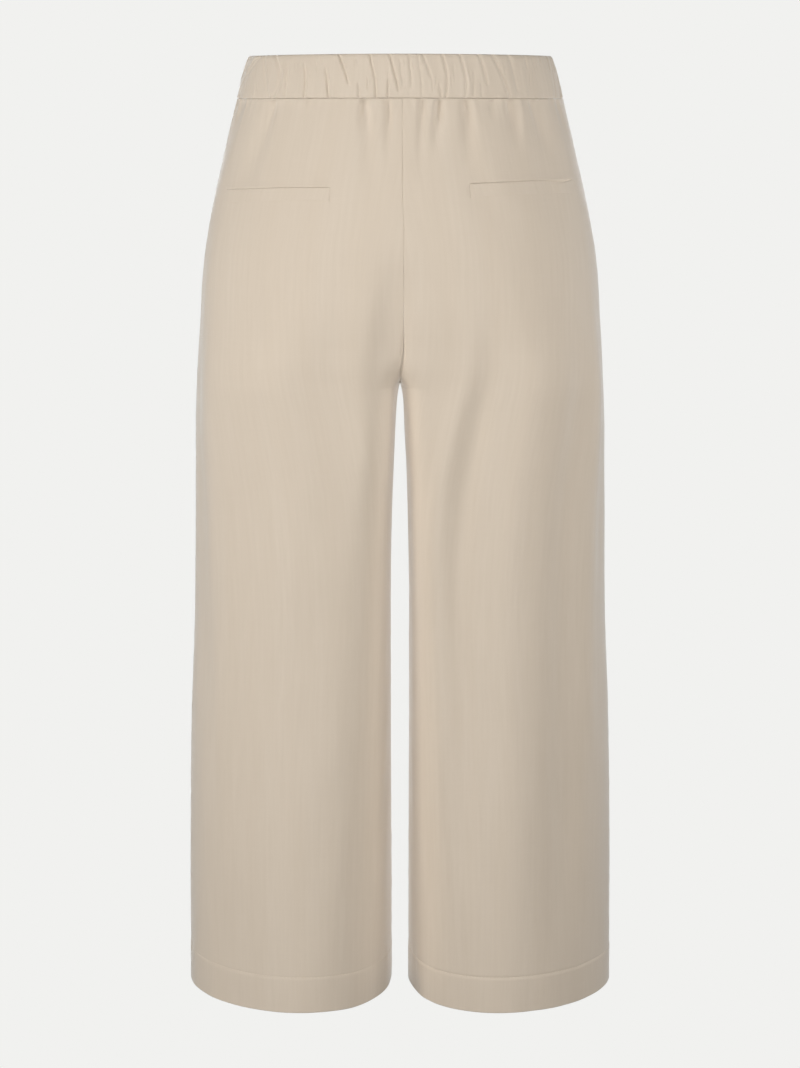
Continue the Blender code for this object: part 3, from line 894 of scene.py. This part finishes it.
def band_section():
    """The waistband's cut: drops down its outside, closer at its edges, and how far it stands out."""
    even = np.linspace(0, 1, BAND_ROWS)
    height = 0.55 * (1 - np.cos(math.pi * even)) / 2 + 0.45 * even
    drops = height * (BAND_HEIGHT - BAND_EDGE) + BAND_EDGE
    return drops, np.interp(drops, *zip(*BAND_PROUD))


# Waves around the band, and how deep each is, along its seam to the panels
FOOT_WAVES = (37, 53, 71, 97, 131)
FOOT_WAVE_DEPTH = 0.11


def foot_ripple(turn):
    """The seam under the waistband opens and shuts unevenly around it."""
    ripple = np.zeros_like(turn)
    for count in FOOT_WAVES:
        ripple = ripple + np.sin(count * turn + 1.7 * count)
    return FOOT_WAVE_DEPTH * ripple


# The inside of the band waves over its elastic: waves around it, their depth,
# and how much the second counts
ELASTIC_WAVES = (61, 97)
ELASTIC_DEPTH = 0.25
ELASTIC_SECOND = 0.7
# Soft swells of the outside: waves around it, depth, and lean down the band
BAND_SWELLS = ((9, 0.18, 2.1), (23, 0.12, -3.0))


def make_waistband():
    """The elastic waistband: cloth gathered around a closed ring."""
    shares = np.linspace(0, 1, BAND_QUARTER + 1)
    rows_out, rows_in, uv_out = [], [], []
    period = band_period(BAND_HEIGHT / 2)
    creases = band_creases(period)
    phase = np.random.default_rng(CREASE_SEED + 1).uniform(0, 6.3, 2)
    for drop, out in zip(*band_section()):
        ring, normal, place = band_ring(drop, shares)
        scale = period / band_period(drop)
        height = drop / BAND_HEIGHT
        fade = ease(drop / 2.2 + 0.35) * ease((BAND_HEIGHT - drop) / 2.0 + 0.35)
        relief = crease_relief(creases, place, height, band_period(drop))
        turn = TURN * place * scale / period
        for count, depth, lean in BAND_SWELLS:
            relief = relief + depth * np.sin(count * turn + lean * height)
        relief = out + relief * fade + foot_ripple(turn) * ease((height - 0.86) / 0.1)
        rows_out.append(swayed(ring + normal * relief[:, None], BACK_LEFT, drop))
        waves = np.sin(ELASTIC_WAVES[0] * turn + phase[0] + 1.2 * height) \
            + ELASTIC_SECOND * np.sin(ELASTIC_WAVES[1] * turn + phase[1])
        inside = BAND_WALL - ELASTIC_DEPTH * waves
        inside = inside - 1.1 * rounding(np.minimum(drop, BAND_HEIGHT - drop), 1.2)
        rows_in.append(ring - normal * inside[:, None])
        across = place * scale * BAND_FULLNESS * MM
        uv_out.append(np.stack([across, np.full_like(place, -drop * MM)], -1))
    grids = [np.array(rows) * MM for rows in (rows_out, rows_in)]
    uv = np.array(uv_out)
    return solid("waistband_cloth", grids, (uv, uv + 0.71), closed_across=True)


def band_line(drop, face, shares):
    """The band's line at one level, which crosses the middle without a seam gap."""
    return half_line(drop, face, 0.0, shares, 0.0, False)


def band_period(drop):
    """The waistband's length around the body at one level."""
    return 2 * sum(band_line(drop, face, np.linspace(0, 1, 3))[5] for face in (-1, 1))


def band_ring(drop, shares):
    """Points around the body at one level, their outward normals and places from the centre back."""
    rows = []
    back_length = band_line(drop, -1, shares)[5]
    for side, face in ((1, -1), (1, 1), (-1, 1), (-1, -1)):
        x, y, nx, ny, place, _ = band_line(drop, face, shares)
        depth = column_at("back" if face < 0 else "front", drop)
        z = waist_lift(np.minimum(1.0, y / depth), face, drop) - drop
        along = back_length + face * place
        point = np.stack([side * x, face * y, z], -1)
        normal = np.stack([side * nx, face * ny, np.zeros_like(nx)], -1)
        pick = slice(None, 0, -1) if side == -face else slice(0, -1)
        rows.append((point[pick], normal[pick], side * along[pick]))
    return map(np.concatenate, zip(*rows))


# ---- stitching
STITCH_PITCH = 3.3
STITCH_LENGTH = 2.4
STITCH_RADIUS = 0.2
STITCH_PROUD = 0.10
STITCH_SIDES = 6
STITCH_RINGS = ((-0.5, 0.25), (-0.38, 0.85), (0.0, 1.0), (0.38, 0.85), (0.5, 0.25))


def stitch_mesh(name, centres, along, out):
    """One mesh of many small stitches, each a short rounded bar."""
    count = len(centres)
    across = np.cross(along, out)
    turn = np.linspace(0, TURN, STITCH_SIDES, endpoint=False)
    rings = []
    for where, size in STITCH_RINGS:
        radius = STITCH_RADIUS * size
        bar = (centres + along * where * STITCH_LENGTH)[:, None]
        rings.append(bar + radius * (across[:, None] * np.cos(turn)[None, :, None]
                                     + out[:, None] * np.sin(turn)[None, :, None]))
    points = np.stack(rings, 1).reshape(-1, 3)
    index = np.arange(len(points)).reshape(count, len(rings), STITCH_SIDES)
    follow = np.roll(index, -1, 2)
    quads = np.stack([index[:, :-1], follow[:, :-1], follow[:, 1:], index[:, 1:]], -1).reshape(-1, 4)
    caps = []
    for ring in (index[:, 0], index[:, -1]):
        caps += [ring[:, (0, 1, 2, 3)], ring[:, (0, 3, 4, 5)]]
    faces = np.concatenate([quads, *caps])
    return mesh_object(name, points * MM, faces)


def hem_stitches(side, skins):
    """The stitches that hold up one leg's hem."""
    rows = []
    for panel in (panel for panel in PANELS if panel.side == side):
        skin = skins[panel.name][0]
        drop = LENGTH - HEM_DEPTH
        width = float(skin.width_at(drop))
        count = int((width - 4) / STITCH_PITCH)
        share = (np.arange(count) + 0.5) / count
        drops = np.full(count, drop)
        points, normals, place = skin.at(drops, share)
        relief = relief_at(panel, skin, drops, share, place)
        points = points + normals * (relief + STITCH_PROUD)[:, None]
        line = np.gradient(points, axis=0)
        line /= np.linalg.norm(line, axis=1)[:, None]
        rows.append((points, line, normals))
    name = "hem_thread_left" if side < 0 else "hem_thread_right"
    return stitch_mesh(name, *map(np.concatenate, zip(*rows)))


# ---- materials
LINEN = (0.535, 0.4595, 0.3735)
# Shades of it: dark and light slubs, broad faint streaks, and painted shade between the threads
DARK_SLUB = (0.940, 0.930, 0.915)
LIGHT_SLUB = (1.055, 1.062, 1.075)
STREAK = (0.95, 0.93, 0.90)
PAINTED_SHADE_BETWEEN_THREADS = (0.80, 0.78, 0.74)
THREAD_PITCH = 0.00065


class Nodes:
    """Short calls for building a material's nodes."""

    def __init__(self, name):
        self.material = bpy.data.materials.new(name)
        self.material.use_nodes = True
        self.tree = self.material.node_tree
        self.shader = self.tree.nodes["Principled BSDF"]

    def add(self, kind, inputs=(), **values):
        """A node, with its plain properties set and its inputs set or linked."""
        node = self.tree.nodes.new(kind)
        for key, value in values.items():
            setattr(node, key, value)
        for key, value in dict(inputs).items():
            self.plug(value, node.inputs[key])
        return node

    def plug(self, value, socket):
        """Link a socket, or set a value."""
        if isinstance(value, bpy.types.NodeSocket):
            self.tree.links.new(value, socket)
        else:
            socket.default_value = value

    def put(self, inputs):
        """Set or link the shader's inputs."""
        for key, value in inputs.items():
            self.plug(value, self.shader.inputs[key])

    def math(self, operation, *values):
        """A math node's result."""
        return self.add("ShaderNodeMath", enumerate(values), operation=operation).outputs[0]

    def noise(self, vector, scale, detail, rough=0.5):
        """Noise over a map that is stretched by scale, a triple."""
        place = self.add("ShaderNodeMapping", {"Scale": scale, "Vector": vector}).outputs[0]
        inputs = {"Vector": place, "Scale": 1.0, "Detail": detail, "Roughness": rough}
        return self.add("ShaderNodeTexNoise", inputs).outputs["Fac"]

    def between(self, factor, low, high):
        """A value moved from 0..1 to low..high."""
        return self.add("ShaderNodeMapRange", {"Value": factor, "To Min": low, "To Max": high}).outputs[0]

    def mixed(self, factor, first, second):
        """Two colours mixed."""
        inputs = {"Factor": factor, "A": first, "B": second}
        return self.add("ShaderNodeMix", inputs, data_type="RGBA").outputs["Result"]

    def bump(self, height, distance, strength, under=None):
        """A bump over another one."""
        inputs = {"Distance": distance, "Strength": strength, "Height": height}
        if under is not None:
            inputs["Normal"] = under
        return self.add("ShaderNodeBump", inputs).outputs[0]


def shaded(factor):
    """The linen's colour with each part scaled."""
    return tuple(c * f for c, f in zip(LINEN, factor)) + (1.0,)


def linen_material(name):
    """Light linen: plain weave, long faint slubs down the cloth, and soft sheen."""
    nodes = Nodes(name)
    place = nodes.add("ShaderNodeUVMap", uv_map=CLOTH_MAP).outputs[0]
    slub = nodes.noise(place, (290.0, 13.0, 1.0), 3.0, 0.6)
    fine = nodes.noise(place, (900.0, 60.0, 1.0), 2.0)
    cross = nodes.noise(place, (22.0, 420.0, 1.0), 2.0)
    cloud = nodes.noise(place, (34.0, 2.6, 1.0), 2.0)
    # Plain weave: warp and weft threads pass over each other in turn
    parts = nodes.add("ShaderNodeSeparateXYZ")
    nodes.plug(place, parts.inputs[0])
    waves = []
    for part in (parts.outputs[0], parts.outputs[1]):
        turn = nodes.math("MULTIPLY", part, math.pi / THREAD_PITCH)
        waves.append(nodes.math("SINE", turn))
    over = nodes.math("MULTIPLY", waves[0], waves[1])
    ridges = nodes.math("MULTIPLY", nodes.math("ABSOLUTE", waves[0]),
                        nodes.math("ABSOLUTE", waves[1]))
    weave = nodes.math("ADD", nodes.math("MULTIPLY", over, 0.25), ridges)
    # Colour: painted shade between the threads, and slightly darker along the slubs
    mottle = nodes.math("ADD", nodes.math("MULTIPLY", slub, 0.70), nodes.math("MULTIPLY", fine, 0.18))
    mottle = nodes.math("ADD", mottle, nodes.math("MULTIPLY", cross, 0.12))
    base = nodes.mixed(nodes.between(mottle, -0.22, 1.22), shaded(DARK_SLUB), shaded(LIGHT_SLUB))
    base = nodes.mixed(nodes.between(cloud, -0.25, 0.75), base, shaded(STREAK))
    # Painted shade: the cloth's colour is darker in the gaps between the threads
    base = nodes.mixed(nodes.between(ridges, 0.16, 0.0), base, shaded(PAINTED_SHADE_BETWEEN_THREADS))
    nodes.put({
        "Base Color": base,
        "Roughness": nodes.between(mottle, 0.74, 0.64),
        "Normal": nodes.bump(mottle, 0.00030, 0.35, nodes.bump(weave, 0.00010, 0.35)),
        "Specular IOR Level": 0.32,
        "Sheen Weight": 0.60,
        "Sheen Roughness": 0.35,
        "Sheen Tint": (0.95, 0.98, 1.0, 1.0),
    })
    return nodes.material


def thread_material():
    """Sewing thread, a little lighter than the cloth, with its twist."""
    nodes = Nodes("thread")
    place = nodes.add("ShaderNodeTexCoord").outputs["Object"]
    twist = nodes.noise(place, (3500.0, 3500.0, 900.0), 2.0)
    nodes.put({
        "Base Color": nodes.mixed(twist, shaded((0.93, 0.92, 0.90)), shaded((1.10, 1.10, 1.10))),
        "Normal": nodes.bump(twist, 0.0001, 0.4),
        "Roughness": 0.55,
        "Sheen Weight": 0.15,
    })
    return nodes.material


# ---- pieces
def dressed(piece, material, slot, *nodes):
    """Give a piece its material and body, and hide the solids that it stands for; slot is not used."""
    piece.data.materials.append(material)
    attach(piece, BODY)
    if nodes:
        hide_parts(*nodes)
    return piece


def make_trousers():
    """Build and dress every piece."""
    skins = {panel.name: (Skin(panel, 0.0), Skin(panel, CLOTH_WALL)) for panel in PANELS}
    cloth = linen_material("linen")
    band_cloth = linen_material("linen_gathered")
    welt_cloth = linen_material("linen_welt")
    thread = thread_material()
    for side in (-1, 1):
        dressed(hem_stitches(side, skins), thread, "linen")
    for panel in PANELS:
        piece = make_panel(panel, *skins[panel.name])
        dressed(piece, cloth, "linen", panel.name)
    for welt in WELTS:
        piece = make_welt(welt, skins[welt.panel.name][0])
        dressed(piece, welt_cloth, "linen_welt", welt.panel.name.replace("back", "welt"))
    band = dressed(make_waistband(), band_cloth, "linen_gathered", "waistband")


# ---- camera, floor and light
CAMERA_DISTANCE = 2.4
CAMERA_TILT = 10.56
PHOTO_HEIGHT_PIXELS = 1068
FOCAL_PIXELS = 2565
SENSOR = 36.0
BACKDROP = (0.8796, 0.8796, 0.8632)
FLOOR_LEVEL = -3.0
FLOOR_SIZE = 20.0

# Soft round lights: degrees around from the camera's side towards the right,
# degrees up, and watts.  Three throw no shadow, to reach the legs' edges.  The
# last two light the front.
Lamp = namedtuple("Lamp", "name around up power shadow")
LAMPS = (
    ("camera_side", 0, 0, 25.4, True),
    ("key_inner", -25, 0, 20.9, True),
    ("key", -60, 10, 31.2, True),
    ("fill", 60, 15, 19.9, True),
    ("inner_fill", 70, 10, 10.8, False),
    ("rim_left", -120, -8, 12.2, False),
    ("rim_right", 120, -8, 20.5, False),
    ("front_left", -165, 10, 26.0, True),
    ("front_right", 165, 10, 26.0, True),
)
LAMP_DISTANCE = 2.4
LAMP_SIZE = 1.0
LAMP_TARGET = (0.0, 0.0, -0.15)


def make_camera():
    """The camera looks at the back, from a little above, as the photograph does."""
    data = bpy.data.cameras.new("camera")
    data.sensor_fit = "VERTICAL"
    data.sensor_height = SENSOR
    data.sensor_width = SENSOR
    data.lens = FOCAL_PIXELS * SENSOR / PHOTO_HEIGHT_PIXELS
    data.clip_end = 200.0
    camera = linked("camera", data)
    camera.location = (0.0, -CAMERA_DISTANCE, 0.0)
    camera.rotation_euler = (math.radians(90 - CAMERA_TILT), 0.0, 0.0)
    bpy.context.scene.camera = camera


def make_floor():
    """A pale floor far below the hems, as bright as the backdrop, which it runs into."""
    nodes = Nodes("floor")
    nodes.put({
        "Base Color": (0.0, 0.0, 0.0, 1.0),
        "Roughness": 1.0,
        "Specular IOR Level": 0.0,
        "Emission Color": (*BACKDROP, 1.0),
        "Emission Strength": 1.0,
    })
    bpy.ops.mesh.primitive_plane_add(size=FLOOR_SIZE, location=(0.0, 0.0, FLOOR_LEVEL))
    floor = bpy.context.object
    floor.name = "floor"
    floor.data.materials.append(nodes.material)
    floor.visible_diffuse = False
    floor.visible_glossy = False


def make_lamp(lamp):
    """A soft round light aimed at the garment's middle."""
    data = bpy.data.lights.new(lamp.name, "AREA")
    data.shape = "DISK"
    data.size = LAMP_SIZE
    data.energy = lamp.power
    data.use_shadow = lamp.shadow
    light = linked(lamp.name, data)
    around, up = math.radians(lamp.around), math.radians(lamp.up)
    away = Vector((math.sin(around) * math.cos(up), -math.cos(around) * math.cos(up), math.sin(up)))
    light.location = Vector(LAMP_TARGET) + LAMP_DISTANCE * away
    light.rotation_euler = (-away).to_track_quat("-Z", "Y").to_euler()
    light.visible_camera = False


def make_light():
    """A plain pale backdrop, which lights nothing itself, and the soft lamps."""
    world = bpy.data.worlds.new("studio")
    world.use_nodes = True
    background = world.node_tree.nodes["Background"]
    background.inputs["Color"].default_value = (*BACKDROP, 1.0)
    background.inputs["Strength"].default_value = 1.0
    world.cycles_visibility.diffuse = False
    world.cycles_visibility.glossy = False
    bpy.context.scene.world = world
    for row in LAMPS:
        make_lamp(Lamp(*row))


make_trousers()
make_camera()
make_floor()
make_light()
bpy.context.scene.view_settings.view_transform = "Standard"
